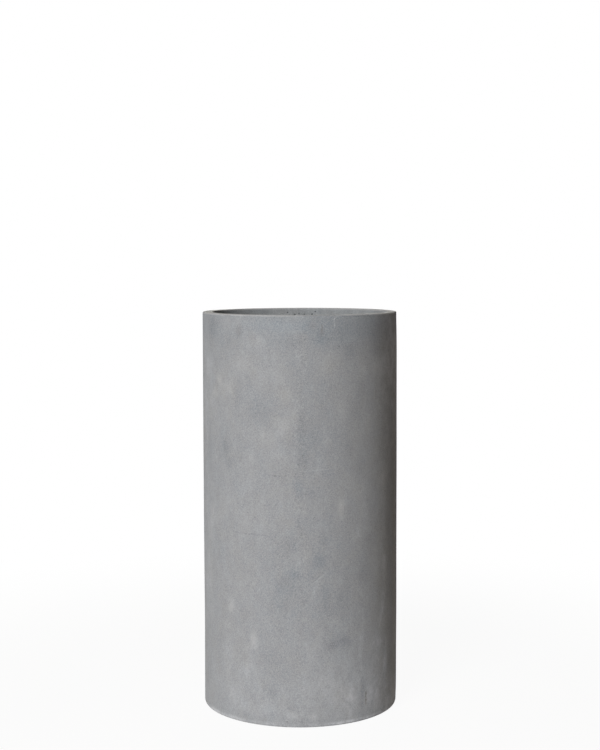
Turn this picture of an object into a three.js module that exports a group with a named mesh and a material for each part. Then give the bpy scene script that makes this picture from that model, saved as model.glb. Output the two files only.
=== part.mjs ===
// A tall round fibreglass planter with a stone-look face, 40 x 80 cm nominal.
//
// The wall is a thin shell in two bonded layers. A cast stone-composite face covers everything
// that shows: the straight outer wall, the flat rim, the lip that turns down inside the mouth and
// the foot that turns in under the wall. A hand-laid fibreglass wall backs it and carries the load.
// A filler ring stiffens the rim between wall and lip, a separate base panel lies on the foot, a
// cove of resin and glass seals the corner between panel and wall, and a rubber plug closes the
// drain hole from inside. The planter stands on four rubber pads.
//
// Millimetres, +Z up. The origin is on the floor, on the planter's axis. -Y is the front.

import * as THREE from "three";

// Overall
const outerDiameter = 395;
const height = 800; // from the floor to the rim, pads included

// Stone-composite face
const faceThickness = 3;
const rimWidth = 20; // the flat ring around the mouth
const lipDepth = 42; // how far the rim turns down inside the mouth
const footWidth = 38; // how far the foot turns in under the wall
const rimOuterRadius = 3; // rounds the edge between the outer wall and the rim
const rimInnerRadius = 2; // rounds the edge between the rim and the mouth
const footEdgeRadius = 4; // rounds the edge between the outer wall and the foot

// Fibreglass
const wallThickness = 5;
const flangeThickness = 6; // the wall's own flange, which lies on the foot
const panelThickness = 9;
const beadLeg = 18; // height and width of the corner bead
const beadToe = 1; // thickness that the bead's cove thins down to at both edges

// Drain hole and plug
const drainHoleRadius = 12;
const stemClearance = 0.4; // between the hole and the stem where it enters
const stemTaper = 1.6; // how much smaller the stem's radius is at its tip
const stemPast = 4; // how far the stem reaches below the panel
const stemWall = 2.5; // around the hollow in the stem, at its tip
const collarOverlap = 7; // how far the plug's collar reaches past the hole
const collarThickness = 3;
const collarEdgeRadius = 1.2;
const gripNeckRadius = 5;
const gripNeckHeight = 8;
const gripOverhang = 3; // how far the grip's domed head reaches past its neck

// Pads
const padRadius = 11;
const padThickness = 2;
const padEdgeRadius = 0.8;
const padSetback = 10.5; // a strip of the foot next to the wall that the pads leave free
const padCount = 4;
const firstPadAngle = 45; // degrees from +X

// Clearances
const bondLine = 0.3; // resin or glue between two bonded pieces
const seatGap = 0.3; // between the plug's collar and the panel

// Facets
const wallFacets = 80;
const smallFacets = 28;
const edgeSteps = 4; // in a rounded edge
const coveSteps = 7;
const domeSteps = 6;
const sharpBelow = 0.05; // an edge rounded by less than this stays sharp

// Levels and radii that follow from the sizes above
const outerRadius = outerDiameter / 2;
const mouthRadius = outerRadius - rimWidth;
const faceInnerRadius = outerRadius - faceThickness;
const lipBackRadius = mouthRadius + faceThickness;
const lipBottom = height - lipDepth;
const faceUnderRim = height - faceThickness;

const footBottom = padThickness + bondLine;
const footTop = footBottom + faceThickness;
const footInnerRadius = outerRadius - footWidth;

const wallOuterRadius = faceInnerRadius - bondLine;
const wallInnerRadius = wallOuterRadius - wallThickness;
const wallBottom = footTop + bondLine;
const wallTop = faceUnderRim - bondLine;
const flangeTop = wallBottom + flangeThickness;

const insideRadius = wallInnerRadius - bondLine; // of what is bonded in against the wall
const panelBottom = flangeTop + bondLine;
const panelTop = panelBottom + panelThickness;

const point = (radius, z) => new THREE.Vector2(radius, z);

// Points on a round stretch about a centre, from one angle to another, in degrees from +radius.
function arc(centreRadius, centreZ, radius, from, to, steps) {
  const points = [];
  for (let i = 0; i <= steps; i++) {
    const angle = THREE.MathUtils.degToRad(from + ((to - from) * i) / steps);
    points.push(point(centreRadius + radius * Math.cos(angle), centreZ + radius * Math.sin(angle)));
  }
  return points;
}

// A section's square corner at (cornerRadius, z), rounded by a quarter turn between two angles.
function corner(cornerRadius, z, rounding, from, to) {
  if (rounding < sharpBelow) return [point(cornerRadius, z)];
  const middle = THREE.MathUtils.degToRad((from + to) / 2);
  const centreRadius = cornerRadius - rounding * Math.sign(Math.cos(middle));
  const centreZ = z - rounding * Math.sign(Math.sin(middle));
  return arc(centreRadius, centreZ, rounding, from, to, edgeSteps);
}

// A section turned about +Z. The section runs anticlockwise, with radius to the right and Z up.
function turned(section, facets) {
  return new THREE.LatheGeometry(section, facets).rotateX(Math.PI / 2);
}

// A section that doesn't touch the axis closes on its own first point.
function ring(section, facets) {
  return turned([...section, section[0].clone()], facets);
}

function named(name, geometry, material) {
  const mesh = new THREE.Mesh(geometry, material);
  mesh.name = name;
  return mesh;
}

const stoneFace = new THREE.MeshStandardMaterial({ color: 0x9a9b9c, roughness: 0.82, metalness: 0 });
const fibreglass = new THREE.MeshStandardMaterial({ color: 0x6f7069, roughness: 0.6, metalness: 0 });
const filler = new THREE.MeshStandardMaterial({ color: 0x77766f, roughness: 0.9, metalness: 0 });
const rubber = new THREE.MeshStandardMaterial({ color: 0x1b1b1c, roughness: 0.75, metalness: 0 });

// The face wraps the wall from the foot, up the outside, over the rim and down the lip.
// It is equally thick round its edges, so the edges inside are rounded by that much less.
function faceShell() {
  const section = [
    point(footInnerRadius, footBottom),
    ...corner(outerRadius, footBottom, footEdgeRadius, -90, 0),
    ...corner(outerRadius, height, rimOuterRadius, 0, 90),
    ...corner(mouthRadius, height, rimInnerRadius, 90, 180),
    point(mouthRadius, lipBottom),
    point(lipBackRadius, lipBottom),
    ...corner(lipBackRadius, faceUnderRim, rimInnerRadius - faceThickness, 180, 90),
    ...corner(faceInnerRadius, faceUnderRim, rimOuterRadius - faceThickness, 90, 0),
    ...corner(faceInnerRadius, footTop, footEdgeRadius - faceThickness, 0, -90),
    point(footInnerRadius, footTop),
  ];
  return named("face_shell", ring(section, wallFacets), stoneFace);
}

// The load-bearing tube behind the face, with a flange that lies on the turned-in foot.
function fibreglassWall() {
  const backOfFace = faceThickness + bondLine;
  const section = [
    point(footInnerRadius, wallBottom),
    ...corner(wallOuterRadius, wallBottom, footEdgeRadius - backOfFace, -90, 0),
    ...corner(wallOuterRadius, wallTop, rimOuterRadius - backOfFace, 0, 90),
    point(wallInnerRadius, wallTop),
    point(wallInnerRadius, flangeTop),
    point(footInnerRadius, flangeTop),
  ];
  return named("fibreglass_wall", ring(section, wallFacets), fibreglass);
}

// Fills the rim between the wall and the lip, flush with the lip's lower edge.
function rimStiffener() {
  const inner = lipBackRadius + bondLine;
  const section = [
    point(inner, lipBottom),
    point(insideRadius, lipBottom),
    point(insideRadius, wallTop),
    ...corner(inner, wallTop, rimInnerRadius - faceThickness - bondLine, 90, 180),
  ];
  return named("rim_stiffener", ring(section, wallFacets), filler);
}

// The panel lies on the wall's flange, with the drain hole in its middle.
function basePanel() {
  const section = [
    point(drainHoleRadius, panelBottom),
    point(insideRadius, panelBottom),
    point(insideRadius, panelTop),
    point(drainHoleRadius, panelTop),
  ];
  return named("base_panel", ring(section, wallFacets), fibreglass);
}

// A hollow cove that seals the inside corner, where the panel meets the wall.
function cornerBead() {
  const bottom = panelTop + bondLine;
  const top = bottom + beadLeg;
  const toeRadius = insideRadius - beadLeg;
  const section = [
    point(toeRadius, bottom),
    point(insideRadius, bottom),
    point(insideRadius, top),
    ...arc(toeRadius, top, beadLeg - beadToe, 0, -90, coveSteps),
  ];
  return named("corner_bead", ring(section, wallFacets), filler);
}

// A tapered stopper, hollow from below up to its collar. The collar lies on the panel, and the
// grip is pulled up from inside.
function drainPlug() {
  const stemRadius = drainHoleRadius - stemClearance;
  const tipRadius = stemRadius - stemTaper;
  const hollowRadius = tipRadius - stemWall;
  const tip = panelBottom - stemPast;
  const collarBottom = panelTop + seatGap;
  const collarTop = collarBottom + collarThickness;
  const collarRadius = drainHoleRadius + collarOverlap;
  const collarRounding = Math.min(collarEdgeRadius, collarThickness / 2);
  const headBottom = collarTop + gripNeckHeight;
  const headRadius = gripNeckRadius + gripOverhang;
  const section = [
    point(0, collarBottom),
    point(hollowRadius, collarBottom),
    point(hollowRadius, tip),
    point(tipRadius, tip),
    point(stemRadius, collarBottom),
    point(collarRadius, collarBottom),
    ...corner(collarRadius, collarTop, collarRounding, 0, 90),
    point(gripNeckRadius, collarTop),
    point(gripNeckRadius, headBottom),
    ...arc(0, headBottom, headRadius, 0, 90, domeSteps).slice(0, -1),
    point(0, headBottom + headRadius),
  ];
  return named("drain_plug", turned(section, smallFacets), rubber);
}

// A pad about its own axis, from the floor up.
function padGeometry() {
  const section = [
    point(0, 0),
    ...corner(padRadius, 0, Math.min(padEdgeRadius, padThickness / 2), -90, 0),
    point(padRadius, padThickness),
    point(0, padThickness),
  ];
  return turned(section, smallFacets);
}

// The pads stand in the middle of the strip that is left of the foot, evenly spaced. So far in,
// they can't be seen by someone who stands in front of the planter.
function footPads() {
  const pads = new THREE.Group();
  const circleRadius = (footInnerRadius + outerRadius - padSetback) / 2;
  for (let i = 0; i < padCount; i++) {
    const angle = THREE.MathUtils.degToRad(firstPadAngle + (i * 360) / padCount);
    const pad = named(`foot_pad_${i + 1}`, padGeometry(), rubber);
    pad.position.set(circleRadius * Math.cos(angle), circleRadius * Math.sin(angle), 0);
    pads.add(pad);
  }
  return pads;
}

const planter = new THREE.Group();
planter.add(
  faceShell(),
  fibreglassWall(),
  rimStiffener(),
  basePanel(),
  cornerBead(),
  drainPlug(),
  footPads(),
);

export default planter;
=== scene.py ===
# The looks of a tall round planter: a stone-look face over a fibreglass shell.
# Metres, +Z up. The origin is on the floor, on the planter's axis, and -Y is the front.

import math
from collections import namedtuple

import bmesh
import bpy
import numpy as np
from mathutils import Matrix, Vector


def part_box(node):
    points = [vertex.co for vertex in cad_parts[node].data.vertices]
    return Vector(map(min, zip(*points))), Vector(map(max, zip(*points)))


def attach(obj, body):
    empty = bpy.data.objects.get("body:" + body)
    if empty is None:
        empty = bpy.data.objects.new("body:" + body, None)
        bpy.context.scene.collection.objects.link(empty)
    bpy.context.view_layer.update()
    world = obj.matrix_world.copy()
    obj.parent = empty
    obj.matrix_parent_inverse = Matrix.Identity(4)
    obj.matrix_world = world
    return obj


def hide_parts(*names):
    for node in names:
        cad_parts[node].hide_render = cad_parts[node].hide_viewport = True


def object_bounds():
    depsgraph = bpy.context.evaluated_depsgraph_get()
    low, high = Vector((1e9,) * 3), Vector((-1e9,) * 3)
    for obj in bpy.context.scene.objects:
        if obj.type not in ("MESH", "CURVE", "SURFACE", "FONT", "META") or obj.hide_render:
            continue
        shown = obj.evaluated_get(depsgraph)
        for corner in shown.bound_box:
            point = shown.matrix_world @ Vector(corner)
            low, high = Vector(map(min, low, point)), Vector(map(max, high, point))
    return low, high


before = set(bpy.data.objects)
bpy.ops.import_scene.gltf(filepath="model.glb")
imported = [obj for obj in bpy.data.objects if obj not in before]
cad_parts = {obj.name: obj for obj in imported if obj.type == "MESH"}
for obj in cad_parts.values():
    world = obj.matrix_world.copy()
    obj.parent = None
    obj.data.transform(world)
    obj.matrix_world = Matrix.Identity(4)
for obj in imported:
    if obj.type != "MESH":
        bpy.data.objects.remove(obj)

MM = 0.001
cad_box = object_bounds()

# ---- camera

PICTURE_WIDTH = 600
PICTURE_HEIGHT = 750
SENSOR = 36  # millimetres, on the picture's long side
LENS = 69.56
CAMERA_DISTANCE = 2.95  # level, from the planter's axis
CAMERA_ABOVE_RIM = 0.1144
CAMERA_PITCH = 3.2  # degrees downwards
CAMERA_ROLL = -0.124
CAMERA_SHIFT = (0.0003, -0.052)


def make_camera():
    data = bpy.data.cameras.new("camera")
    data.sensor_width = SENSOR
    data.lens = LENS
    data.shift_x, data.shift_y = CAMERA_SHIFT
    made = bpy.data.objects.new("camera", data)
    height = cad_box[1].z + CAMERA_ABOVE_RIM
    pitch = Matrix.Rotation(math.radians(90 - CAMERA_PITCH), 4, "X")
    roll = Matrix.Rotation(math.radians(CAMERA_ROLL), 4, "Z")
    made.matrix_world = Matrix.Translation((0, -CAMERA_DISTANCE, height)) @ pitch @ roll
    bpy.context.scene.collection.objects.link(made)
    bpy.context.scene.camera = made
    return made


def on_wall(across, down, radius, far=False):
    """The angle and height at which the ray through a point of the picture meets a round wall."""
    focal = LENS / SENSOR * PICTURE_HEIGHT
    shift_x, shift_y = CAMERA_SHIFT
    x = across - PICTURE_WIDTH / 2 + shift_x * PICTURE_HEIGHT
    y = PICTURE_HEIGHT / 2 - down + shift_y * PICTURE_HEIGHT
    ray = camera.matrix_world.to_3x3() @ Vector((x / focal, y / focal, -1))
    start = camera.matrix_world.translation
    a = ray.x**2 + ray.y**2
    b = ray.x * start.x + ray.y * start.y
    c = start.x**2 + start.y**2 - radius**2
    half_chord = math.sqrt(max(b**2 - a * c, 0))
    reach = (half_chord - b) / a if far else (-half_chord - b) / a
    place = start + ray * reach
    return math.atan2(place.x, -place.y), place.z


# ---- sizes, read off the frame


def outline_of(node):
    """The radius and height of each of a round node's vertices."""
    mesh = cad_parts[node].data
    place = np.empty(len(mesh.vertices) * 3, np.float32)
    mesh.vertices.foreach_get("co", place)
    place = place.reshape(-1, 3).astype(float)
    return np.hypot(place[:, 0], place[:, 1]), place[:, 2]


def inner_radius(node, low=0.0, high=1.0):
    """A round node's smallest radius between two heights."""
    radius, height = outline_of(node)
    return radius[(height > low) & (height < high)].min()


FACE_THICKNESS = 3 * MM
RIM_OUTER_ROUND = 2 * MM
RIM_INNER_ROUND = 1.5 * MM
FOOT_ROUND = 3.5 * MM
FLANGE_THICKNESS = 6 * MM
BEAD_TOE = 1 * MM
SHARP = 0.4 * MM  # how much an edge that is left sharp is rounded
BREAK = 1 * MM  # how much a sanded or moulded edge is rounded

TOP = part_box("face_shell")[1].z
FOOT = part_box("face_shell")[0].z
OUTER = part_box("face_shell")[1].x
MOUTH = inner_radius("face_shell", low=TOP / 2)
FOOT_INNER = inner_radius("face_shell", high=TOP / 2)
LIP_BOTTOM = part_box("rim_stiffener")[0].z

# ---- turned meshes

Corner = namedtuple("Corner", "radius height rounding spacing", defaults=(SHARP, 40 * MM))
ARC_STEP = 0.5 * MM
NEARLY_STRAIGHT = math.radians(89)


def rounded(before, corner, after):
    """The points that round one corner of a section."""
    here = np.array((corner.radius, corner.height))
    back = np.array((before.radius, before.height)) - here
    on = np.array((after.radius, after.height)) - here
    back /= np.linalg.norm(back)
    on /= np.linalg.norm(on)
    half = math.acos(np.clip(back @ on, -1, 1)) / 2
    if corner.rounding == 0 or half > NEARLY_STRAIGHT:
        return [here]
    middle = here + (back + on) / np.linalg.norm(back + on) * corner.rounding / math.sin(half)
    reach = corner.rounding / math.tan(half)
    first = here + back * reach - middle
    last = here + on * reach - middle
    turn = math.pi - 2 * half
    steps = max(2, math.ceil(turn * corner.rounding / ARC_STEP))
    points = []
    for i in range(steps + 1):
        share = i / steps
        a = math.sin((1 - share) * turn) / math.sin(turn)
        b = math.sin(share * turn) / math.sin(turn)
        points.append(middle + a * first + b * last)
    return points


def between(start, end, spacing):
    """Points along a straight stretch, with one close to each end that keeps the shading flat."""
    length = np.linalg.norm(end - start)
    margin = min(0.2 * spacing, 1.5 * MM)
    if length < 3 * margin:
        return []
    count = 1 + math.ceil((length - 2 * margin) / spacing)
    places = np.linspace(margin, length - margin, count)
    return [start + (end - start) * along / length for along in places]


def section(corners, closed=True):
    """A section's outline, anticlockwise: round corners, with points along the straight stretches."""
    count = len(corners)
    stretches = []
    for i, corner in enumerate(corners):
        if not closed and i in (0, count - 1):
            stretches.append([np.array((corner.radius, corner.height))])
        else:
            stretches.append(rounded(corners[i - 1], corner, corners[(i + 1) % count]))
    points = []
    for i, stretch in enumerate(stretches):
        points.extend(stretch)
        if closed or i < count - 1:
            points.extend(between(stretch[-1], stretches[(i + 1) % count][0], corners[i].spacing))
    return np.array(points)


def evenly(count):
    return np.arange(count) * 2 * math.pi / count


def turned(name, outline, angles, closed=True, shape=None, middle=(0, 0)):
    """An outline of (radius, height) points, turned about a vertical axis into a closed smooth mesh."""
    radius = outline[None, :, 0] * np.ones((len(angles), 1))
    height = outline[None, :, 1] * np.ones((len(angles), 1))
    angle = angles[:, None] * np.ones((1, len(outline)))
    if shape is not None:
        radius, height = shape(radius, height, angle)
    place = np.stack([middle[0] + radius * np.sin(angle), middle[1] - radius * np.cos(angle), height], -1)
    index = np.arange(place.shape[0] * place.shape[1]).reshape(place.shape[:2])
    beside = np.roll(index, -1, 0)
    quads = np.stack([index, beside, np.roll(beside, -1, 1), np.roll(index, -1, 1)], -1)
    if not closed:
        quads = quads[:, :-1]
    mesh = bpy.data.meshes.new(name)
    mesh.from_pydata(place.reshape(-1, 3).tolist(), [], quads.reshape(-1, 4).tolist())
    if not closed:
        weld(mesh)
    mesh.shade_smooth()
    piece = bpy.data.objects.new(name, mesh)
    bpy.context.scene.collection.objects.link(piece)
    return piece


def weld(mesh):
    """Joins the points that an open outline's two ends leave on the axis."""
    work = bmesh.new()
    work.from_mesh(mesh)
    bmesh.ops.remove_doubles(work, verts=work.verts, dist=0.001 * MM)
    work.to_mesh(mesh)
    work.free()


def finish_piece(piece, material, body, slot, *nodes):
    piece.data.materials.append(material)
    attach(piece, body)
    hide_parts(*nodes)
    return piece


# ---- hand-made unevenness


def smooth(value, low, high):
    """0 below low, 1 above high and a smooth step between them."""
    share = np.clip((value - low) / (high - low), 0, 1)
    return share * share * (3 - 2 * share)


def turn_from(angle, start):
    """The turn from one angle to another, the short way round."""
    return (angle - start + math.pi) % (2 * math.pi) - math.pi


def hump(value, middle, width):
    """1 at the middle, falling smoothly to 0 at a distance of about width."""
    return np.exp(-((value - middle) / (0.5 * width)) ** 2)


STEEPNESS = 5  # of waves, in radians a metre for each one around


def waves(angle, along, seed, count, most_around):
    """A smooth uneven field between about -1 and 1, that closes on itself around the axis."""
    random = np.random.default_rng(seed)
    total = np.zeros(np.broadcast(angle, along).shape)
    for _ in range(count):
        around = random.integers(1, most_around + 1)
        pitch = random.uniform(-1, 1) * most_around * STEEPNESS
        total += np.sin(around * angle + pitch * along + random.uniform(0, 2 * math.pi))
    return total / math.sqrt(count)


def raised(wave):
    """A wave raised so far that it hardly ever gets below 0, and cut off there."""
    return np.maximum(1.5 + wave, 0)


def dabbed(wave):
    """A weaker wave about 1, that stays between 0 and 2."""
    return np.clip(1 + 0.6 * wave, 0, 2)


def at_mark(mark, down, angle):
    """1 at the middle of a mark on the near wall, falling to 0 past its ends."""
    middle, _ = on_wall(mark.across, down, OUTER)
    return hump(OUTER * turn_from(angle, middle), 0, mark.wide * MM)


# ---- face

# Places on the wall are points of the photograph, as pixels across and down in its 600 x 750 frame.

WALL_WAVE = 0.08 * MM
RIM_WAVE = 0.1 * MM
# A hollow of the wall, too shallow to see but for the outline: its middle in degrees to the right
# of the front and metres up, its width and height, and its depth.
Hollow = namedtuple("Hollow", "degrees height wide tall depth")
HOLLOWS = (
    Hollow(-90, 0.15, 0.36, 0.36, 1.0 * MM),
    Hollow(90, 0.0, 0.3, 0.3, 0.6 * MM),
    Hollow(90, 0.0, 0.2, 0.05, 0.9 * MM),
    Hollow(90, 0.8, 0.25, 0.09, 1.2 * MM),
)
# A nick in the near rim's outer edge: its middle, and its width and depth in millimetres
Nick = namedtuple("Nick", "across wide depth")
NICKS = (
    Nick(370, 4.5, 1.3),
    Nick(357, 9, 0.5),
    Nick(343, 5, 0.5),
    Nick(318, 14, 0.5),
    Nick(227, 7, 0.5),
    Nick(250, 4, 0.4),
)
NICK_INWARDS = 0.6  # how deep a nick goes inwards, as a share of how deep it goes down
NEAR_RIM_DOWN = 315
# An air hole in the lip, opposite the camera: its middle, and its width and height in millimetres
Pit = namedtuple("Pit", "across down wide tall")
PITS = (
    Pit(287.6, 312.6, 2.6, 2.4),
    Pit(294.9, 314.5, 4.4, 3.6),
    Pit(299.0, 313.5, 2.8, 2.6),
    Pit(304.4, 314.6, 4.6, 3.8),
    Pit(312.0, 314.3, 3.2, 3.4),
    Pit(315.2, 311.8, 2.4, 2.2),
)
PIT_DEPTH = 1.8 * MM
PIT_FLOOR, PIT_BRIM = 0.55, 1.15  # how far out its side starts and ends, in radii


def hollow_depth(angle, height):
    total = 0
    for hollow in HOLLOWS:
        across = OUTER * turn_from(angle, math.radians(hollow.degrees))
        beside = hollow.depth * hump(across, 0, hollow.wide)
        total = total + beside * hump(height, hollow.height, hollow.tall)
    return total


def nick_depth(angle):
    """How far the outer edge of the rim is worn down."""
    return sum(nick.depth * MM * at_mark(nick, NEAR_RIM_DOWN, angle) for nick in NICKS)


def pit_depth(angle, height):
    total = 0
    for pit in PITS:
        at, level = on_wall(pit.across, pit.down, MOUTH, far=True)
        across = MOUTH * turn_from(angle, at) / (0.5 * pit.wide * MM)
        up = (height - level) / (0.5 * pit.tall * MM)
        total = total + PIT_DEPTH * (1 - smooth(np.hypot(across, up), PIT_FLOOR, PIT_BRIM))
    return total


def face_shape(radius, height, angle):
    """The face's unevenness. On the wall it goes inwards only, within the true cylinder."""
    outside = smooth(radius, OUTER - FACE_THICKNESS, OUTER - 0.2 * MM)
    lip = 1 - smooth(radius, MOUTH + MM, MOUTH + 2 * MM)
    edge = smooth(radius, OUTER - 3 * MM, OUTER) * smooth(height, TOP - 3 * MM, TOP - 1.5 * MM)
    flat = smooth(height, TOP - 2 * MM, TOP) * smooth(radius, MOUTH - MM, MOUTH + MM)
    nick = edge * nick_depth(angle)
    wave = WALL_WAVE * raised(waves(angle, height, seed=3, count=14, most_around=9))
    sag = RIM_WAVE * raised(waves(angle, 0 * height, seed=5, count=8, most_around=12))
    inwards = outside * (hollow_depth(angle, height) + wave) + NICK_INWARDS * nick
    outwards = lip * (height > LIP_BOTTOM) * pit_depth(angle, height)
    return radius - inwards + outwards, height - flat * sag - nick


FACE_FACETS = 300
FINE_STEP = math.radians(0.3)
FINE_MARGIN = math.radians(1.2)  # past the outermost of the places that need fine steps


def face_angles():
    """Even steps round the face, and finer ones at its pits and its largest nick."""
    angles = set(np.round(evenly(FACE_FACETS), 6))
    pitted = [on_wall(pit.across, pit.down, MOUTH, far=True)[0] for pit in PITS]
    nicked = [on_wall(NICKS[0].across, NEAR_RIM_DOWN, OUTER)[0]]
    for places in (pitted, nicked):
        low = min(place % (2 * math.pi) for place in places) - FINE_MARGIN
        high = max(place % (2 * math.pi) for place in places) + FINE_MARGIN
        spared = 0.5 * FINE_STEP
        angles = {angle for angle in angles if not low - spared < angle < high + spared}
        angles |= set(np.linspace(low, high, math.ceil((high - low) / FINE_STEP)))
    return np.array(sorted(angles))


def make_face(material):
    corners = [
        Corner(FOOT_INNER, FOOT, BREAK, 6 * MM),
        Corner(OUTER, FOOT, FOOT_ROUND, 5.5 * MM),
        Corner(OUTER, TOP, RIM_OUTER_ROUND, 2.5 * MM),
        Corner(MOUTH, TOP, RIM_INNER_ROUND, 1.5 * MM),
        Corner(MOUTH, LIP_BOTTOM, BREAK, MM),
        Corner(MOUTH + FACE_THICKNESS, LIP_BOTTOM, SHARP, 20 * MM),
        Corner(MOUTH + FACE_THICKNESS, TOP - FACE_THICKNESS, SHARP, 10 * MM),
        Corner(OUTER - FACE_THICKNESS, TOP - FACE_THICKNESS, SHARP, 80 * MM),
        Corner(OUTER - FACE_THICKNESS, FOOT + FACE_THICKNESS, BREAK, 15 * MM),
        Corner(FOOT_INNER, FOOT + FACE_THICKNESS, BREAK, 2 * MM),
    ]
    piece = turned("face", section(corners), face_angles(), shape=face_shape)
    paint(piece)
    return finish_piece(piece, material, "planter", "stone_face", "face_shell")


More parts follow.
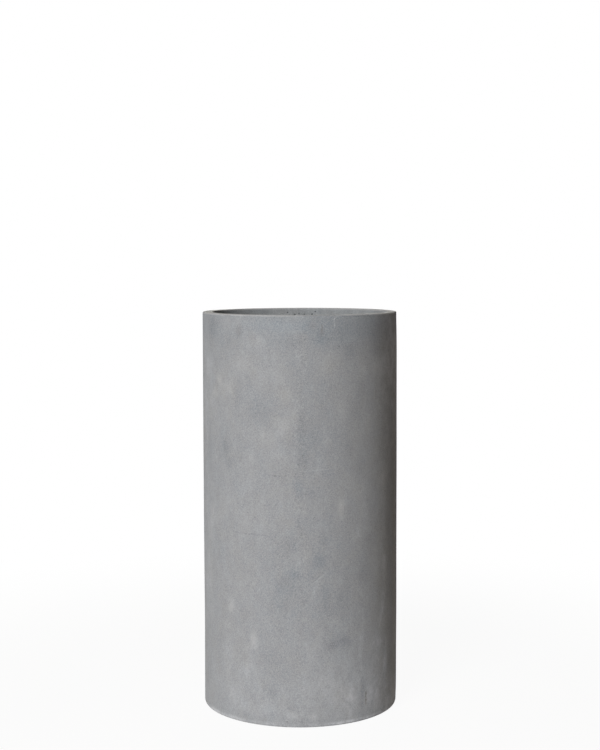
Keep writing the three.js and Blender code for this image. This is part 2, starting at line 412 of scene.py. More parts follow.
# A soft patch on the wall: its middle, its width and height in millimetres, how much lighter and
# warmer it is, in percent before the material's own weights, and how many degrees it leans over.
Patch = namedtuple("Patch", "across down wide tall light warm lean", defaults=(0, 0))
PATCHES = (
    # the dull band under the rim, bluish on the left and dark on the right
    Patch(211, 332, 30, 60, -8),
    Patch(285, 326, 130, 20, 2, -1.3),
    Patch(239, 331, 14, 20, -10, 0.6),
    Patch(228, 344, 40, 26, -5),
    Patch(313, 326, 14, 14, -8, 1.6),
    Patch(322, 332, 8, 12, -7, 1.4),
    Patch(345, 332, 110, 60, -5, -0.9),
    Patch(378, 338, 60, 60, -7, 0.2),
    Patch(350, 352, 24, 26, -8, -0.4),
    Patch(380, 350, 30, 24, -5),
    Patch(290, 343, 40, 16, -4, -0.4),
    Patch(321, 340, 26, 18, -4, -1.6),
    Patch(228, 323, 26, 20, 4, 0.5),
    Patch(258, 340, 26, 24, 5, 0.4),
    # the upper half
    Patch(219, 378, 12, 20, 10, 1.0),
    Patch(215, 391, 16, 24, 10, 1.0),
    Patch(231, 387, 14, 26, 8, 0.9),
    Patch(222, 386, 46, 48, 3, 0.6),
    Patch(242, 362, 36, 40, 5, 0.9),
    Patch(272, 372, 60, 50, 3, 0.3),
    Patch(302, 356, 20, 20, 5, 0.4),
    Patch(327, 366, 30, 30, 6, 1.0),
    Patch(364, 370, 16, 24, 9, 0.4),
    Patch(377, 366, 24, 24, 9, 0.4),
    Patch(285, 396, 22, 34, 7, 1.4),
    Patch(295, 413, 12, 24, 7, 0.9),
    Patch(284, 426, 36, 36, 7, 1.2),
    Patch(263, 432, 14, 18, 7, 0.6),
    Patch(268, 442, 40, 24, 4, 0.5),
    Patch(284, 456, 44, 24, 4.5, 0.3),
    Patch(252, 458, 14, 18, 5, 0.2),
    Patch(214, 409, 26, 20, 4, 0.4),
    Patch(217, 450, 8, 24, 5),
    Patch(342, 410, 16, 30, 6, 0.7),
    Patch(326, 441, 10, 20, 6, 0.3, 20),
    Patch(367, 428, 30, 26, 5, 0.2),
    Patch(238, 398, 16, 40, -5, -0.2),
    Patch(258, 410, 40, 36, -6, -0.4),
    Patch(301, 428, 10, 44, -7, -0.2),
    Patch(303, 460, 20, 34, -9, -0.3),
    Patch(310, 436, 30, 40, -4, -0.2),
    Patch(361, 391, 18, 40, -6),
    Patch(355, 412, 26, 40, -5, -0.2),
    Patch(350, 447, 26, 40, -5),
    Patch(383, 430, 20, 60, -5),
    Patch(358, 468, 34, 24, -4),
    Patch(226, 447, 20, 36, -9, -0.5),
    Patch(230, 463, 18, 22, -8, -0.3),
    Patch(210, 445, 14, 110, -7),
    # the middle
    Patch(318, 471, 40, 8, 7, 0.3, -80),
    Patch(308, 482, 10, 26, 7, 0.4, 25),
    Patch(308, 493, 34, 18, -6, -0.9),
    Patch(298, 487, 12, 30, -5, -1.2),
    Patch(384, 478, 14, 30, 7, 0.4),
    Patch(361, 491, 20, 34, 7, 0.2),
    Patch(342, 507, 12, 40, 12, 1.0),
    Patch(363, 510, 18, 34, 6, 0.1),
    Patch(348, 486, 30, 14, 5),
    Patch(213, 512, 20, 60, 9, 0.3),
    Patch(228, 492, 44, 36, 3, 0.2),
    Patch(356, 534, 20, 36, 7, 0.2),
    Patch(290, 545, 32, 30, -6, -0.3),
    Patch(323, 541, 16, 22, -7, -0.3),
    Patch(368, 539, 18, 18, -7),
    Patch(255, 552, 90, 50, -3),
    Patch(302, 563, 14, 24, 6),
    Patch(319, 561, 24, 26, -10, -1.8),
    Patch(311, 575, 12, 18, -6, -1.0),
    Patch(293, 575, 24, 16, -8, -1.7),
    Patch(283, 581, 26, 16, -6, -0.3),
    Patch(287, 590, 34, 26, -5, -0.4),
    Patch(275, 600, 14, 50, -5, -0.3, 20),
    Patch(283, 607, 14, 16, -8, -0.6),
    Patch(315, 589, 9, 34, 10, -0.3, 20),
    Patch(316, 600, 12, 16, 7, -0.4),
    Patch(326, 597, 13, 38, -9, -1.2),
    Patch(341, 597, 14, 18, -9, -0.8),
    Patch(332, 611, 36, 20, -6, -0.7),
    Patch(314, 616, 14, 14, 0, -1.3),
    Patch(338, 580, 24, 24, 4),
    Patch(364, 574, 26, 34, -7),
    Patch(380, 590, 18, 50, -4),
    Patch(384, 563, 12, 50, 8),
    # the lower part: painted light on the right from the floor's bounce, and painted sheen streaks at the
    # right edge on a smoother surface
    Patch(231, 606, 18, 24, 9, 0.5),
    Patch(228, 625, 16, 20, 6, 0.2),
    Patch(227, 647, 26, 28, 5, -0.5),
    Patch(230, 688, 22, 34, 5, -0.4),
    Patch(254, 641, 15, 27, 14, 1.4),
    Patch(247, 647, 12, 14, 7, 0.6),
    Patch(248, 668, 12, 36, 7, 0.1, 15),
    Patch(272, 631, 10, 24, 5),
    Patch(266, 659, 36, 24, -5),
    Patch(272, 692, 20, 16, -8, -0.4),
    Patch(246, 717, 30, 12, -6),
    Patch(242, 705, 40, 18, 5),
    Patch(270, 712, 22, 18, 6),
    Patch(280, 700, 170, 60, 2),
    Patch(294, 716, 24, 14, 15, 0.3),
    Patch(312, 717, 13, 9, 14, 1.0),
    Patch(340, 624, 44, 26, 6, -0.2),
    Patch(314, 652, 40, 54, 6),
    Patch(348, 684, 110, 100, 9),
    Patch(310, 692, 60, 60, 4),
    Patch(332, 646, 20, 17, -12, -0.7),
    Patch(344, 641, 22, 17, -12, -0.9),
    Patch(361, 650, 9, 62, 16),
    Patch(363, 692, 10, 50, -16, -0.6),
    Patch(351, 703, 26, 50, 16, 0.4),
    Patch(339, 696, 26, 40, 6, 0.4),
    Patch(372, 694, 50, 70, 15, -0.6),
    Patch(382, 606, 12, 50, 14, -1.0, 8),
    Patch(378, 645, 30, 60, 14, -1.2, 8),
    Patch(385, 665, 14, 70, 16, -1.6),
    # both sides, with painted light: lighter strips along both edges of the wall and warm light on the
    # shaded right edge
    Patch(207, 540, 70, 460, 7),
    Patch(208, 671, 10, 40, -3),
    Patch(386, 520, 60, 900, 6, 1.0),
    Patch(394, 520, 34, 900, 5, 4.5),
    Patch(392, 345, 60, 300, 20, 1.2),
    Patch(390, 702, 70, 80, 14),
    Patch(207, 375, 50, 160, 9),
    Patch(207, 580, 40, 34, 8),
    # broad and faint
    Patch(246, 530, 120, 220, 2.6),
    Patch(240, 686, 170, 100, 3.6),
    Patch(318, 410, 150, 260, -2.2),
    Patch(346, 565, 50, 160, -2),
    Patch(332, 700, 90, 50, -3),
    Patch(214, 325, 50, 40, -4.5),
    Patch(353, 430, 70, 460, 0, 0.6),
    # painted warm light along the shaded right edge
    Patch(386, 500, 90, 900, 0, 1.6),
)
PATCH_REACH = 0.6  # how far a patch keeps its strength, as a share of its width and height
PATCH_FALL = 2.4  # how steeply it fades there
# painted light inside the mouth: the lip is drawn lighter and a little cooler than the wall
LIP_PAINTED_LIGHT = 8
LIP_WARM = -0.5
# painted shade in the lip's air holes, darker than their shallow depth shades them
PIT_PAINTED_SHADE = -75
# A stretch of the near rim or foot: its middle, its length in millimetres and how much more its
# light edge shows
Stretch = namedtuple("Stretch", "across wide more")
# on the rim, the light edge is a painted highlight along its top, stronger or weaker stretch by stretch
RIM_STRETCHES = (
    Stretch(317, 110, -0.9),
    Stretch(388, 60, 0.5),
)
# the lighter line just above the foot's underside, stronger along these stretches
FOOT_STRETCHES = (
    Stretch(216, 60, 0.3),
    Stretch(238, 60, 0.26),
    Stretch(272, 40, 0.14),
    Stretch(322, 40, 0.12),
    Stretch(342, 50, 0.26),
    Stretch(372, 90, 0.3),
)
NEAR_FOOT_DOWN = 715
FOOT_EDGE_HEIGHT = 4.5 * MM  # above the foot's underside
FOOT_EDGE_WIDE = 5 * MM
# The unseen rest of the wall has the same kinds of patch, strewn at random.
STREWN_PATCHES = 150
STREWN_SEED = 11
VIEW_EDGE = math.radians(80)  # where the seen part of the wall ends, on both sides


def seen_patches():
    """The patches as (angle, height, wide, tall, light, warm, lean) rows."""
    return [(*on_wall(patch.across, patch.down, OUTER), *patch[2:]) for patch in PATCHES]


def strewn_patches():
    """More patches, as rows of the same kind."""
    random = np.random.default_rng(STREWN_SEED)
    rows = []
    for _ in range(STREWN_PATCHES):
        angle = random.uniform(VIEW_EDGE, 2 * math.pi - VIEW_EDGE)
        light = random.choice((-1, 1)) * random.uniform(2, 6)
        wide = random.uniform(12, 55)
        tall = wide * random.uniform(0.8, 2.6)
        warm = 0.12 * light + random.uniform(-0.4, 0.4)
        height = random.uniform(FOOT, TOP)
        lean = random.uniform(-12, 12)
        rows.append((angle, height, wide, tall, light, warm, lean))
    return rows


def patched(angle, height):
    """How much lighter and warmer the patches make the wall."""
    light = np.zeros(len(angle))
    warm = np.zeros(len(angle))
    for at, level, wide, tall, lighter, warmer, lean in seen_patches() + strewn_patches():
        across = OUTER * turn_from(angle, at)
        up = height - level
        slant = math.radians(lean)
        along = up * math.cos(slant) + across * math.sin(slant)
        beside = across * math.cos(slant) - up * math.sin(slant)
        reach = np.hypot(beside / (PATCH_REACH * wide * MM), along / (PATCH_REACH * tall * MM))
        share = np.exp(-reach**PATCH_FALL)
        light += share * lighter / 100
        warm += share * warmer / 100
    return light, warm


def lip_paint(radius, height):
    """How much lighter and warmer the lip is than the wall, as painted light inside the mouth, with painted
    shade in its air holes.
    """
    lip = (radius < MOUTH + PIT_DEPTH + 0.1 * MM) & (height > LIP_BOTTOM)
    # painted shade inside the air holes
    pitted = smooth(radius, MOUTH + 0.3 * MM, MOUTH + 0.8 * PIT_DEPTH) * (height < TOP - 3 * MM)
    return lip * (LIP_PAINTED_LIGHT + PIT_PAINTED_SHADE * pitted) / 100, lip * LIP_WARM / 100


def paint(piece):
    """Gives the face's points what its material reads: lightness and warmth, some of them painted light,
    and a painted highlight along the rim's top.
    """
    place = np.empty(len(piece.data.vertices) * 3, np.float32)
    piece.data.vertices.foreach_get("co", place)
    place = place.reshape(-1, 3).astype(float)
    angle = np.arctan2(place[:, 0], -place[:, 1])
    height = place[:, 2]
    radius = np.hypot(place[:, 0], place[:, 1])
    outside = radius > OUTER - 1.5 * MM
    light, warm = lip_paint(radius, height)
    patch_light, patch_warm = patched(angle, height)
    foot_edge = hump(height - FOOT, FOOT_EDGE_HEIGHT, FOOT_EDGE_WIDE)
    foot_light = sum(stretch.more * at_mark(stretch, NEAR_FOOT_DOWN, angle) for stretch in FOOT_STRETCHES)
    light += outside * (patch_light + foot_edge * foot_light)
    warm += outside * patch_warm
    # a painted highlight along the rim's top
    rim_highlight = (height > TOP - RIM_OUTER_ROUND) * np.ones(len(place))
    for stretch in RIM_STRETCHES:
        rim_highlight *= 1 + stretch.more * at_mark(stretch, NEAR_RIM_DOWN, angle)
    for name, value in (("light", light), ("warm", warm), ("rim_highlight", rim_highlight)):
        attribute = piece.data.attributes.new(name, "FLOAT", "POINT")
        attribute.data.foreach_set("value", value.astype(np.float32))


# ---- material building

DARKEST = 0.12  # the darkest that a tone makes the base colour
WARM = (0.34, 0.02, -0.34)
GREEN = (-0.02, 0.06, -0.02)  # warm and cool patches are both a little greener than the rest


class Nodes:
    """A node tree, built by short calls. A value is a socket or what a socket can be set to."""

    def __init__(self, tree):
        self.tree = tree

    def node(self, kind, inputs, **settings):
        made = self.tree.nodes.new(kind)
        for key, value in settings.items():
            setattr(made, key, value)
        for key, value in inputs.items():
            self.put(made.inputs[key], value)
        return made

    def put(self, socket, value):
        if isinstance(value, bpy.types.NodeSocket):
            self.tree.links.new(value, socket)
        else:
            socket.default_value = value

    def math(self, operation, *values, **settings):
        inputs = dict(enumerate(values))
        return self.node("ShaderNodeMath", inputs, operation=operation, **settings).outputs[0]

    def vector(self, operation, *values, output=0):
        inputs = dict(enumerate(values))
        return self.node("ShaderNodeVectorMath", inputs, operation=operation).outputs[output]

    def scaled(self, value, factor):
        inputs = {0: value, "Scale": factor}
        return self.node("ShaderNodeVectorMath", inputs, operation="SCALE").outputs[0]

    def weighted(self, *terms):
        """The sum of value times weight, over pairs of the two."""
        total = 0.0
        for value, weight in terms:
            total = self.math("MULTIPLY_ADD", value, weight, total)
        return total

    def step(self, value, low, high, start=0.0, end=1.0):
        """A smooth step from start, where the value is low, to end, where it is high."""
        inputs = {"Value": value, "From Min": low, "From Max": high, "To Min": start, "To Max": end}
        return self.node("ShaderNodeMapRange", inputs, interpolation_type="SMOOTHSTEP").outputs["Result"]


class Look(Nodes):
    """The nodes of a material with one shader."""

    def __init__(self, name):
        self.material = bpy.data.materials.new(name)
        self.material.use_nodes = True
        super().__init__(self.material.node_tree)
        self.shader = self.tree.nodes["Principled BSDF"]
        self.place = self.node("ShaderNodeTexCoord", {}).outputs["Object"]

    def stretched(self, x, y, z, place=None):
        """The place, shrunk along each axis, so that a pattern there is drawn out by as much."""
        return self.vector("DIVIDE", place or self.place, (x, y, z))

    def height(self):
        return self.node("ShaderNodeSeparateXYZ", {0: self.place}).outputs["Z"]

    def unrolled(self):
        """The outer wall rolled out flat: how far it is round to the right, and the height."""
        xyz = self.node("ShaderNodeSeparateXYZ", {0: self.place}).outputs
        angle = self.math("ARCTAN2", xyz["X"], self.math("MULTIPLY", xyz["Y"], -1.0))
        inputs = {"X": self.math("MULTIPLY", angle, OUTER), "Y": xyz["Z"]}
        return self.node("ShaderNodeCombineXYZ", inputs).outputs[0]

    def twisted(self, turns):
        """The place, turned about the axis more and more with height, for slanting strokes."""
        inputs = {"Vector": self.place, "Angle": self.math("MULTIPLY", self.height(), turns * 2 * math.pi)}
        return self.node("ShaderNodeVectorRotate", inputs, rotation_type="Z_AXIS").outputs[0]

    def noise(self, size, place=None, detail=0.0, roughness=0.5):
        """Clouds around zero. Size is that of the largest ones, in metres."""
        inputs = {"Vector": place or self.place, "Scale": 1 / size}
        inputs |= {"Detail": detail, "Roughness": roughness}
        made = self.node("ShaderNodeTexNoise", inputs).outputs[0]
        return self.math("SUBTRACT", made, 0.5)

    def cells(self, size, place=None):
        """Scattered points: the distance to the nearest one, in metres, and a value of its own."""
        made = self.node("ShaderNodeTexVoronoi", {"Vector": place or self.place, "Scale": 1 / size})
        distance = self.math("MULTIPLY", made.outputs["Distance"], size)
        own = self.node("ShaderNodeSeparateXYZ", {0: made.outputs["Color"]}).outputs["X"]
        return distance, own

    def dots(self, spacing, radius, share):
        """Small round dots, on that share of the scattered points."""
        distance, own = self.cells(spacing)
        dot = self.step(distance, 0.4 * radius, radius, 1.0, 0.0)
        return self.math("MULTIPLY", dot, self.math("LESS_THAN", own, share))

    def attribute(self, name):
        return self.node("ShaderNodeAttribute", {}, attribute_name=name).outputs["Fac"]

    def bump(self, height, distance, strength=1.0):
        """A height between about -1 and 1, times the distance in metres."""
        inputs = {"Height": height, "Distance": distance, "Strength": strength}
        self.put(self.shader.inputs["Normal"], self.node("ShaderNodeBump", inputs).outputs[0])

    def color(self, base, tone, tint):
        """The base colour, lighter by the tone and warmer by the tint."""
        lighter = self.math("MAXIMUM", self.math("ADD", tone, 1.0), DARKEST)
        hue = self.vector("ADD", self.scaled(WARM, tint), self.scaled(GREEN, self.math("ABSOLUTE", tint)))
        self.put(self.shader.inputs["Base Color"], self.vector("ADD", self.scaled(base, lighter), hue))


# ---- stone

STONE = (0.341, 0.3438, 0.357)

# A fine line on the wall: a crack, a scratch, a painted sheen streak or a painted line of shade. Both ends,
# its width in millimetres, and how much lighter and warmer it is, in percent before the material's own
# weights
Stroke = namedtuple("Stroke", "across down to_across to_down wide light warm", defaults=(0,))
STROKES = (
    Stroke(266, 474.5, 275, 476, 2.4, -10),
    Stroke(275, 476, 286, 476, 2.4, -10),
    Stroke(299, 471.5, 314, 470.5, 1.8, 10),
    Stroke(314, 470.5, 331, 469, 1.8, 9),
    Stroke(236, 532, 250, 534, 2.6, -9),
    Stroke(250, 534, 267, 535.5, 2.6, -10),
    Stroke(267, 535.5, 280, 545, 2.0, -7),
    Stroke(311, 585, 325, 574, 2.0, 11),
    Stroke(312, 583, 323, 572, 1.8, -9),
    Stroke(314, 588, 315, 604, 2.4, 6),
    Stroke(334.5, 318, 334.5, 328, 1.8, 17, 1),
    Stroke(333, 319.5, 337, 317, 1.8, 18, 1),
    Stroke(348, 320, 361, 317, 1.0, 12),
    # painted shade: a dark line under the near rim's edge
    Stroke(342, 316.6, 371, 315.6, 1.6, -14),
    Stroke(322, 325, 322, 331, 2.4, -12, 2.5),
    Stroke(366, 692, 366, 704, 3.4, -30, 4),
    Stroke(363, 610, 363, 650, 2.0, 7),
    # painted sheen: light streaks down the lower right edge
    Stroke(386, 585, 381, 620, 2.4, 12),
    Stroke(381, 620, 372, 646, 2.2, 11),
    Stroke(386, 640, 383, 672, 2.4, 12),
    Stroke(383, 672, 375, 696, 2.4, 11),
    Stroke(240, 660, 262, 664, 1.4, -5),
    Stroke(291, 400, 303, 408, 1.4, 6),
)
# A pore or a pale speck, described in the same way
Spot = namedtuple("Spot", "across down wide light")
SPOTS = (
    Spot(339, 346.5, 2.2, -30),
    Spot(287, 722, 2.4, -34),
    Spot(302, 722, 1.8, -20),
    Spot(327, 675, 2.0, -22),
    Spot(270, 691, 1.8, -16),
    Spot(243, 437, 1.8, -14),
    Spot(293, 436, 1.8, -16),
    Spot(237, 658, 1.8, -14),
    Spot(300, 443, 2.0, -12),
    Spot(371, 332, 2.6, 22),
    Spot(334.5, 325.5, 2.8, 14),
    Spot(306, 651, 2.2, 10),
    Spot(257, 338, 2.4, 8),
)

SHAKE = 2.4 * MM  # how far the edges of strokes and spots wander, from side to side
LEAST_LENGTH = 0.01 * MM  # gives a spot a direction


def drawn(look, place, start, end, wide):
    """1 on a line between two points of the unrolled wall, falling to 0 at its width. A spot is
    a line from a point to itself."""
    along = Vector((end[0] - start[0], end[1] - start[1] + LEAST_LENGTH, 0))
    from_start = look.vector("SUBTRACT", place, (*start, 0))
    reached = look.vector("DOT_PRODUCT", from_start, along, output="Value")
    share = look.math("DIVIDE", reached, along.length_squared, use_clamp=True)
    apart = look.vector("SUBTRACT", from_start, look.scaled(along, share))
    return look.step(look.vector("LENGTH", apart, output="Value"), 0.0, wide * MM, 1.0, 0.0)


def unrolled_point(across, down):
    angle, height = on_wall(across, down, OUTER)
    return angle * OUTER, height


def shaken(look):
    """The unrolled wall, with its places moved a little, which roughens what is drawn there."""
    inputs = {"Vector": look.place, "Scale": 1 / (7 * MM), "Detail": 1.0}
    noise = look.node("ShaderNodeTexNoise", inputs).outputs["Color"]
    moved = look.vector("MULTIPLY_ADD", noise, (SHAKE, SHAKE, 0), look.unrolled())
    return look.vector("SUBTRACT", moved, (SHAKE / 2, SHAKE / 2, 0))


def on_outside(look):
    """1 on the outer wall, the rim's edge and the foot's edge, and 0 elsewhere."""
    radius = look.vector("LENGTH", look.vector("MULTIPLY", look.place, (1, 1, 0)), output="Value")
    return look.step(radius, OUTER - 3 * MM, OUTER - 2 * MM)


def marks(look):
    """The strokes and spots of the front, as tone and tint."""
    place = shaken(look)
    outside = on_outside(look)
    broken = look.step(look.noise(5 * MM, detail=1.0), -0.12, 0.1, 0.4, 1.0)
    strokes = look.math("MULTIPLY", broken, outside)
    tones, tints, dots = [], [], []
    for stroke in STROKES:
        start = unrolled_point(stroke.across, stroke.down)
        end = unrolled_point(stroke.to_across, stroke.to_down)
        value = drawn(look, place, start, end, stroke.wide)
        tones.append((value, stroke.light / 100))
        if stroke.warm:
            tints.append((value, stroke.warm / 100))
    for spot in SPOTS:
        at = unrolled_point(spot.across, spot.down)
        dots.append((drawn(look, place, at, at, spot.wide), spot.light / 100))
    tone = look.math("MULTIPLY", look.weighted(*tones), strokes)
    tint = look.math("MULTIPLY", look.weighted(*tints), strokes)
    return look.math("MULTIPLY_ADD", look.weighted(*dots), outside, tone), tint


def slanting(look, turns):
    """Fine strokes that slant across the wall, one way or the other."""
    return look.noise(3.4 * MM, look.stretched(1, 1, 7, look.twisted(turns)), detail=1.0)


def rim_and_foot(look):
    """Where the band under the rim and a lighter, broken-up line just above the foot's underside show."""
    height = look.height()
    wandering = look.math("MULTIPLY_ADD", look.noise(30 * MM, detail=2.0), 60 * MM, height)
    band = look.step(wandering, TOP - 62 * MM, TOP - 30 * MM)
    above = look.step(height, FOOT + 2 * MM, FOOT + 4 * MM)
    below = look.step(height, FOOT + 6 * MM, FOOT + 9 * MM, 1.0, 0.0)
    foot_breakup = look.step(look.noise(14 * MM, detail=2.0), -0.1, 0.12)
    return band, look.math("MULTIPLY", look.math("MULTIPLY", above, below), foot_breakup)


def make_stone():
    look = Look("stone_face")
    upright = look.stretched(1, 1, 1.35)
    speckle = look.noise(2.8 * MM, detail=1.0, roughness=0.7)
    grain = look.noise(1.5 * MM, detail=1.0)
    mottle = look.noise(34 * MM, upright, detail=3.0, roughness=0.9)
    clouds = look.noise(85 * MM, look.stretched(1, 1, 1.3), detail=1.5, roughness=0.7)
    streaks = look.noise(9 * MM, look.stretched(1, 1, 9), detail=2.0, roughness=0.6)
    left_strokes = slanting(look, 0.45)
    right_strokes = slanting(look, -0.45)
    hue = look.noise(24 * MM, upright, detail=3.0, roughness=0.8)
    # the patches' lightness: the wall's own patchy tone, with painted light at its sides, lower right and
    # inside the mouth, and painted shade in the air holes
    patch = look.math("MULTIPLY", look.attribute("light"), look.step(mottle, -0.16, 0.16, 0.5, 1.5))
    patch_tint = look.attribute("warm")
    # the strokes and spots, among them painted sheen streaks and a painted line of shade under the rim
    drawn_tone, drawn_tint = marks(look)
    band, foot_line = rim_and_foot(look)
    # the painted highlight along the rim's top, lighter and a little warmer
    rim = look.attribute("rim_highlight")
    pinholes = look.dots(26 * MM, 0.9 * MM, 0.35)
    pores = look.dots(6 * MM, 0.35 * MM, 0.5)
    flecks = look.dots(17 * MM, 0.9 * MM, 0.3)
    tone = look.weighted(
        (speckle, 0.36),
        (grain, 0.85),
        (mottle, 0.25),
        (clouds, 0.03),
        (streaks, 0.08),
        (left_strokes, 0.1),
        (right_strokes, 0.1),
        (patch, 1.3),
        (drawn_tone, 1.7),
        (band, -0.02),
        (rim, 0.3),
        (foot_line, 0.1),
        (pinholes, -0.18),
        (pores, -0.14),
        (flecks, 0.09),
    )
    tint = look.weighted(
        (hue, 0.06),
        (clouds, 0.03),
        (speckle, 0.03),
        (grain, 0.015),
        (patch_tint, 1.7),
        (drawn_tint, 1.5),
        (band, -0.013),
        (rim, 0.03),
    )
    look.color(STONE, tone, tint)
    rough = look.weighted((mottle, 0.3), (streaks, 0.15), (patch, -0.7))
    look.put(look.shader.inputs["Roughness"], look.math("ADD", rough, 0.82))
    look.shader.inputs["Specular IOR Level"].default_value = 0.2
    look.shader.inputs["Diffuse Roughness"].default_value = 0.25
    cast = look.weighted((speckle, 0.5), (grain, 0.25), (mottle, 0.8), (streaks, 0.5))
    look.bump(look.math("ADD", cast, look.weighted((pinholes, -0.9), (pores, -0.5))), 0.5 * MM)
    return look.material


# ---- fibreglass, filler and rubber

STRAND_DIRECTIONS = 6


def make_laminate(name, flat):
    """Chopped glass strands in grey resin, on a wall or, if flat, on a level panel."""
    look = Look(name)
    sheet = look.place if flat else look.unrolled()
    strands = 0.0
    for i in range(STRAND_DIRECTIONS):
        inputs = {"Vector": sheet, "Angle": i * math.pi / STRAND_DIRECTIONS + 0.2}
        turned_sheet = look.node("ShaderNodeVectorRotate", inputs, rotation_type="Z_AXIS").outputs[0]
        shifted = look.vector("ADD", turned_sheet, (0.37 * i, 0.13 * i, 0))
        fibre = look.noise(2.2 * MM, look.stretched(1, 16, 1, shifted), detail=1.0)
        ridge = look.step(look.math("ABSOLUTE", fibre), 0.0, 0.05, 1.0, 0.0)
        patchy = look.step(look.noise(26 * MM, shifted), -0.06, 0.1)
        strands = look.math("MULTIPLY_ADD", ridge, patchy, strands)
    resin = look.noise(40 * MM, detail=3.0, roughness=0.6)
    grain = look.noise(1.2 * MM, detail=1.0)
    shown = look.math("MINIMUM", strands, 1.6)
    tone = look.weighted((shown, 0.16), (resin, 0.5), (grain, 0.12))
    tint = look.weighted((resin, 0.1), (shown, -0.01))
    look.color((0.15, 0.157, 0.135), tone, tint)
    look.put(look.shader.inputs["Roughness"], look.math("MULTIPLY_ADD", shown, 0.12, 0.42))
    look.shader.inputs["Specular IOR Level"].default_value = 0.4
    look.bump(look.weighted((shown, 0.5), (resin, 0.8), (grain, 0.2)), 0.5 * MM)
    return look.material


def make_filler():
    look = Look("filler")
    lumps = look.noise(12 * MM, detail=3.0, roughness=0.7)
    drags = look.noise(3 * MM, look.stretched(1, 1, 0.3), detail=2.0)
    grit = look.noise(1.1 * MM, detail=1.0)
    pores = look.dots(7 * MM, 0.6 * MM, 0.4)
    tone = look.weighted((lumps, 0.35), (drags, 0.2), (grit, 0.25), (pores, -0.35))
    look.color((0.185, 0.18, 0.162), tone, look.weighted((lumps, 0.05)))
    look.put(look.shader.inputs["Roughness"], look.math("MULTIPLY_ADD", lumps, 0.3, 0.85))
    look.shader.inputs["Specular IOR Level"].default_value = 0.25
    look.bump(look.weighted((lumps, 1.0), (drags, 0.5), (grit, 0.3), (pores, -1.0)), 0.8 * MM)
    return look.material


def make_rubber():
    look = Look("rubber")
    cloudy = look.noise(9 * MM, detail=3.0, roughness=0.6)
    grain = look.noise(0.7 * MM, detail=1.0)
    dust = look.step(look.noise(3 * MM, detail=4.0, roughness=0.8), 0.02, 0.2)
    tone = look.weighted((cloudy, 0.5), (grain, 0.6), (dust, 0.9))
    look.color((0.0115, 0.0115, 0.012), tone, look.weighted((dust, 0.006)))
    look.put(look.shader.inputs["Roughness"], look.weighted((cloudy, 0.4), (dust, 0.15), (1.0, 0.6)))
    look.shader.inputs["Specular IOR Level"].default_value = 0.45
    look.bump(look.weighted((grain, 0.6), (cloudy, 0.5)), 0.12 * MM)
    return look.material


# ---- inside and under

WALL_FACETS = 240
# How deep the unevenness of what is laid or trowelled by hand goes, on average
WALL_DABS = 0.35 * MM
FILLER_DABS = 0.5 * MM
PANEL_DABS = 0.4 * MM
COVE_DABS = 0.35 * MM
COVE_STEPS = 14
NO_LENGTH = 0.001 * MM  # added before dividing by a length that can be 0


def make_wall(material):
    low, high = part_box("fibreglass_wall")
    outer = high.x
    inner = inner_radius("fibreglass_wall", low=TOP / 2)
    bend = 0.7 * MM

    def shape(radius, height, angle):
        inside = smooth(outer - radius, 3 * MM, 5 * MM)
        inside = inside * smooth(height, low.z + 20 * MM, low.z + 60 * MM)
        wave = waves(angle, height, seed=21, count=18, most_around=14)
        return radius + inside * WALL_DABS * dabbed(wave), height

    corners = [
        Corner(FOOT_INNER, low.z, SHARP, 10 * MM),
        Corner(outer, low.z, bend, 40 * MM),
        Corner(outer, high.z, SHARP, 3 * MM),
        Corner(inner, high.z, SHARP, 7 * MM),
        Corner(inner, low.z + FLANGE_THICKNESS, BREAK, 10 * MM),
        Corner(FOOT_INNER, low.z + FLANGE_THICKNESS, BREAK, 3 * MM),
    ]
    piece = turned("fibreglass_shell", section(corners), evenly(WALL_FACETS), shape=shape)
    return finish_piece(piece, material, "planter", "fibreglass", "fibreglass_wall")


def make_stiffener(material):
    low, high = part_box("rim_stiffener")
    outer = high.x
    inner = inner_radius("rim_stiffener")

    def shape(radius, height, angle):
        under = smooth(low.z + 6 * MM - height, 0, 6 * MM)
        wave = waves(angle, radius * 10, seed=31, count=12, most_around=20)
        return radius, height + under * FILLER_DABS * dabbed(wave)

    corners = [
        Corner(inner, low.z, SHARP, 1.5 * MM),
        Corner(outer, low.z, SHARP, 10 * MM),
        Corner(outer, high.z, SHARP, 4 * MM),
        Corner(inner, high.z, SHARP, 10 * MM),
    ]
    piece = turned("rim_filler", section(corners), evenly(WALL_FACETS), shape=shape)
    return finish_piece(piece, material, "planter", "filler", "rim_stiffener")


def make_panel(material):
    low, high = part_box("base_panel")
    outer = high.x
    hole = inner_radius("base_panel")

    def shape(radius, height, angle):
        upper = smooth(height, low.z + 6 * MM, high.z) * smooth(radius, hole + 9 * MM, hole + 30 * MM)
        wave = waves(angle, radius * 3, seed=41, count=16, most_around=7)
        return radius, height - upper * PANEL_DABS * dabbed(wave)

    corners = [
        Corner(hole, low.z, BREAK, 4 * MM),
        Corner(outer, low.z, SHARP, 4 * MM),
        Corner(outer, high.z, SHARP, 4 * MM),
        Corner(hole, high.z, BREAK, 2 * MM),
    ]
    piece = turned("base", section(corners), evenly(WALL_FACETS), shape=shape)
    return finish_piece(piece, material, "planter", "fibreglass", "base_panel")


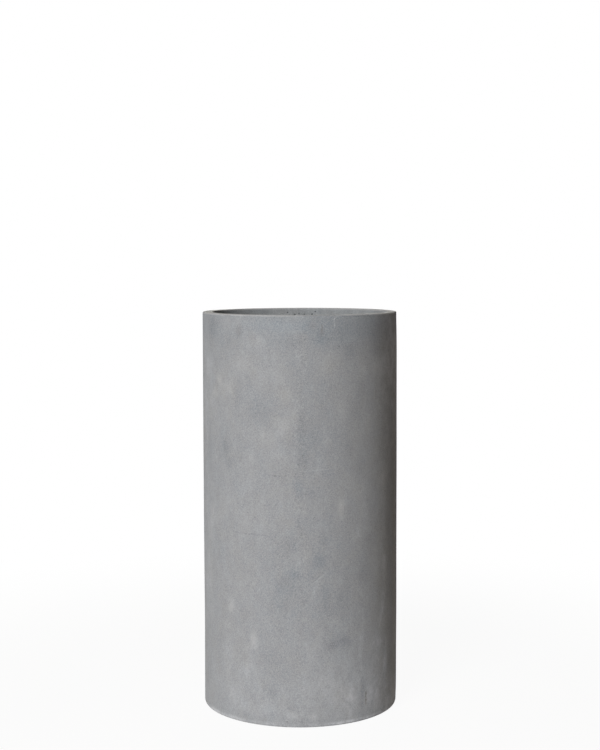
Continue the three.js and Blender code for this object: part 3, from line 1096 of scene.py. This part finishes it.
def make_bead(material):
    low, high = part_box("corner_bead")
    outer = high.x
    leg = high.z - low.z
    toe = outer - leg
    cove = leg - BEAD_TOE
    outline = list(section([Corner(toe, low.z), Corner(outer, low.z), Corner(outer, high.z)], closed=False))
    for i in range(COVE_STEPS + 1):
        angle = -0.5 * math.pi * i / COVE_STEPS
        outline.append(np.array((toe + cove * math.cos(angle), high.z + cove * math.sin(angle))))

    def shape(radius, height, angle):
        away = np.hypot(radius - toe, height - high.z)
        wave = waves(angle, (radius + height) * 2, seed=51, count=14, most_around=26)
        out = smooth(away, cove + MM, cove) * COVE_DABS * dabbed(wave) / (away + NO_LENGTH)
        return radius + out * (radius - toe), height + out * (height - high.z)

    piece = turned("corner_cove", np.array(outline), evenly(WALL_FACETS), shape=shape)
    return finish_piece(piece, material, "planter", "filler", "corner_bead")


PLUG_FACETS = 96
NEAR = 0.1 * MM  # points of the frame's plug this close to a level or radius lie on it
RAISED_RING = 3 * MM  # around the collar
RING_HEIGHT = 0.5 * MM
DOME_STEPS = 14
DOME_START = 3  # the first steps are taken up by the head's rounded lower edge


def make_plug(material):
    """A moulded stopper: a hollow stem, a collar with a raised ring and a grip with a domed head."""
    low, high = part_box("drain_plug")
    radius, height = outline_of("drain_plug")
    collar = high.x
    collar_top = height[radius > collar - 2.5 * MM].max()
    collar_bottom = height[radius > collar - NEAR].min()
    tip = radius[height < low.z + NEAR].max()
    hollow = radius[height < low.z + NEAR].min()
    stem = radius[(height < collar_bottom + NEAR) & (radius < collar - MM)].max()
    neck = radius[np.abs(height - collar_top) < NEAR].min()
    head = radius[height > collar_top + 4 * MM].max()
    head_bottom = high.z - head
    inset = collar_top - RING_HEIGHT
    corners = [
        Corner(0, collar_bottom, 0, 2 * MM),
        Corner(hollow, collar_bottom, BREAK, 2 * MM),
        Corner(hollow, low.z, SHARP, 1 * MM),
        Corner(tip, low.z, BREAK, 2 * MM),
        Corner(stem, collar_bottom, SHARP, 1.5 * MM),
        Corner(collar, collar_bottom, SHARP, 1 * MM),
        Corner(collar, collar_top, 1.2 * MM, 1 * MM),
        Corner(collar - RAISED_RING, collar_top, SHARP, 1 * MM),
        Corner(collar - RAISED_RING - MM, inset, SHARP, 1 * MM),
        Corner(neck + 2 * MM, inset, SHARP, 1 * MM),
        Corner(neck, collar_top + 1.5 * MM, 1.5 * MM, 1 * MM),
        Corner(neck, head_bottom, BREAK, 1 * MM),
        Corner(head - 0.05 * MM, head_bottom, 0.8 * MM, 1 * MM),
    ]
    outline = list(section([*corners, Corner(head - 0.05 * MM, head_bottom + 2 * MM, 0)], closed=False))
    for i in range(DOME_START, DOME_STEPS + 1):
        angle = 0.5 * math.pi * i / DOME_STEPS
        outline.append(np.array((head * math.cos(angle), head_bottom + head * math.sin(angle))))
    outline[-1][0] = 0
    piece = turned("stopper", np.array(outline), evenly(PLUG_FACETS), closed=False)
    return finish_piece(piece, material, "plug", "rubber", "drain_plug")


PAD_GROOVES = 3
GROOVE_PITCH = 2.4 * MM
GROOVE_DEPTH = 0.5 * MM
# Where a ring groove's floor starts and ends and where it is level with the pad again
GROOVE_FLOOR_START, GROOVE_FLOOR_END, GROOVE_END = 0.4 * MM, 0.9 * MM, 1.3 * MM


def make_pad(number, material):
    """A round pad with ring grooves in its underside."""
    node = f"foot_pad_{number}"
    low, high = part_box(node)
    middle = (low + high) / 2
    radius = (high.x - low.x) / 2
    corners = [Corner(0, low.z, 0, MM)]
    for i in range(PAD_GROOVES):
        at = (i + 1) * GROOVE_PITCH
        corners += [
            Corner(at, low.z, SHARP / 2, MM),
            Corner(at + GROOVE_FLOOR_START, low.z + GROOVE_DEPTH, SHARP / 2, MM),
            Corner(at + GROOVE_FLOOR_END, low.z + GROOVE_DEPTH, SHARP / 2, MM),
            Corner(at + GROOVE_END, low.z, SHARP / 2, MM),
        ]
    corners += [
        Corner(radius, low.z, 0.8 * MM, MM),
        Corner(radius, high.z, SHARP, 2 * MM),
        Corner(0, high.z, 0, 2 * MM),
    ]
    outline = section(corners, closed=False)
    piece = turned(f"pad_{number}", outline, evenly(PLUG_FACETS), closed=False, middle=middle)
    return finish_piece(piece, material, "planter", "rubber", node)


# ---- stage

# A soft square lamp, its azimuth and elevation in degrees from the front and from level
Lamp = namedtuple("Lamp", "name azimuth elevation wide tall watts colour")
LAMPS = (
    Lamp("key", -25, 25, 2.0, 2.0, 131, (1.0, 1.0, 0.92)),
    Lamp("low", -23, 8, 2.0, 2.0, 116, (0.93, 0.935, 1.0)),
    Lamp("back", 180, 8, 2.0, 2.0, 115, (1.0, 0.95, 0.81)),
    Lamp("edge", 110, 8, 2.0, 2.0, 4, (1.0, 0.45, 0.2)),
)
LAMP_DISTANCE = 5
AIM = Vector((0, 0, 0.42))
AMBIENT = 0.0  # no light comes from all around
FLOOR_SIZE = 14
WHITE = (1, 1, 1, 1)
PALE = (0.95, 0.95, 0.95, 1)
# How much of the floor's own shading the camera sees, up to near the planter and from far on
SHADOW_NEAR, SHADOW_NEAR_SHARE = 0.5, 0.06
SHADOW_FAR, SHADOW_FAR_SHARE = 1.6, 0.0
# How much light the floor throws back, in the same way
BOUNCE_NEAR, BOUNCE_NEAR_SHARE = 0.4, 0.85
BOUNCE_FAR, BOUNCE_FAR_SHARE = 1.5, 0.1


def make_lamp(lamp):
    data = bpy.data.lights.new(lamp.name, "AREA")
    data.shape = "RECTANGLE"
    data.size, data.size_y = lamp.wide, lamp.tall
    data.energy = lamp.watts
    data.color = lamp.colour
    made = bpy.data.objects.new(lamp.name, data)
    azimuth, elevation = math.radians(lamp.azimuth), math.radians(lamp.elevation)
    level = math.cos(elevation)
    towards = Vector((math.sin(azimuth) * level, -math.cos(azimuth) * level, math.sin(elevation)))
    made.location = AIM + towards * LAMP_DISTANCE
    made.rotation_euler = towards.to_track_quat("Z", "Y").to_euler()
    made.visible_camera = False
    bpy.context.scene.collection.objects.link(made)


def emptied(holder):
    """The nodes of a world or a material, all taken away."""
    holder.use_nodes = True
    holder.node_tree.nodes.clear()
    return Nodes(holder.node_tree)


def seen_directly(nodes):
    """1 for camera, mirror and see-through rays, and 0 for the rays that carry soft light."""
    path = nodes.node("ShaderNodeLightPath", {}).outputs
    mirrored = nodes.math("MAXIMUM", path["Is Camera Ray"], path["Is Glossy Ray"])
    return nodes.math("MAXIMUM", mirrored, path["Is Transmission Ray"])


def mixed(nodes, share, first, second):
    inputs = {0: share, 1: first.outputs[0], 2: second.outputs[0]}
    return nodes.node("ShaderNodeMixShader", inputs)


def make_world():
    world = bpy.data.worlds.new("studio")
    bpy.context.scene.world = world
    nodes = emptied(world)
    ambient = nodes.node("ShaderNodeBackground", {"Color": WHITE, "Strength": AMBIENT})
    white = nodes.node("ShaderNodeBackground", {"Color": WHITE, "Strength": 1})
    surface = mixed(nodes, seen_directly(nodes), ambient, white)
    nodes.node("ShaderNodeOutputWorld", {"Surface": surface.outputs[0]})


def floor_material():
    """A pale floor that shows the planter's shadow and goes over into the white background."""
    material = bpy.data.materials.new("floor")
    nodes = emptied(material)
    place = nodes.node("ShaderNodeTexCoord", {}).outputs["Object"]
    distance = nodes.vector("LENGTH", place, output="Value")
    back = nodes.step(distance, BOUNCE_NEAR, BOUNCE_FAR, BOUNCE_NEAR_SHARE, BOUNCE_FAR_SHARE)
    bounce = nodes.node("ShaderNodeBsdfDiffuse", {"Color": back})
    pale = nodes.node("ShaderNodeBsdfDiffuse", {"Color": PALE})
    white = nodes.node("ShaderNodeEmission", {})
    share = nodes.step(distance, SHADOW_NEAR, SHADOW_FAR, SHADOW_NEAR_SHARE, SHADOW_FAR_SHARE)
    shown = mixed(nodes, share, white, pale)
    surface = mixed(nodes, seen_directly(nodes), bounce, shown)
    nodes.node("ShaderNodeOutputMaterial", {"Surface": surface.outputs[0]})
    return material


def make_floor():
    half = FLOOR_SIZE / 2
    corners = [(-half, -half, 0), (half, -half, 0), (half, half, 0), (-half, half, 0)]
    mesh = bpy.data.meshes.new("floor")
    mesh.from_pydata(corners, [], [(0, 1, 2, 3)])
    mesh.materials.append(floor_material())
    floor = bpy.data.objects.new("floor", mesh)
    bpy.context.scene.collection.objects.link(floor)


# ---- the whole

camera = make_camera()
make_world()
make_floor()
for lamp in LAMPS:
    make_lamp(lamp)

filler = make_filler()
rubber = make_rubber()
make_face(make_stone())
make_wall(make_laminate("laminate_wall", flat=False))
make_stiffener(filler)
make_panel(make_laminate("laminate_base", flat=True))
make_bead(filler)
make_plug(rubber)
for number in range(1, 5):
    make_pad(number, rubber)

bpy.context.scene.view_settings.view_transform = "Standard"
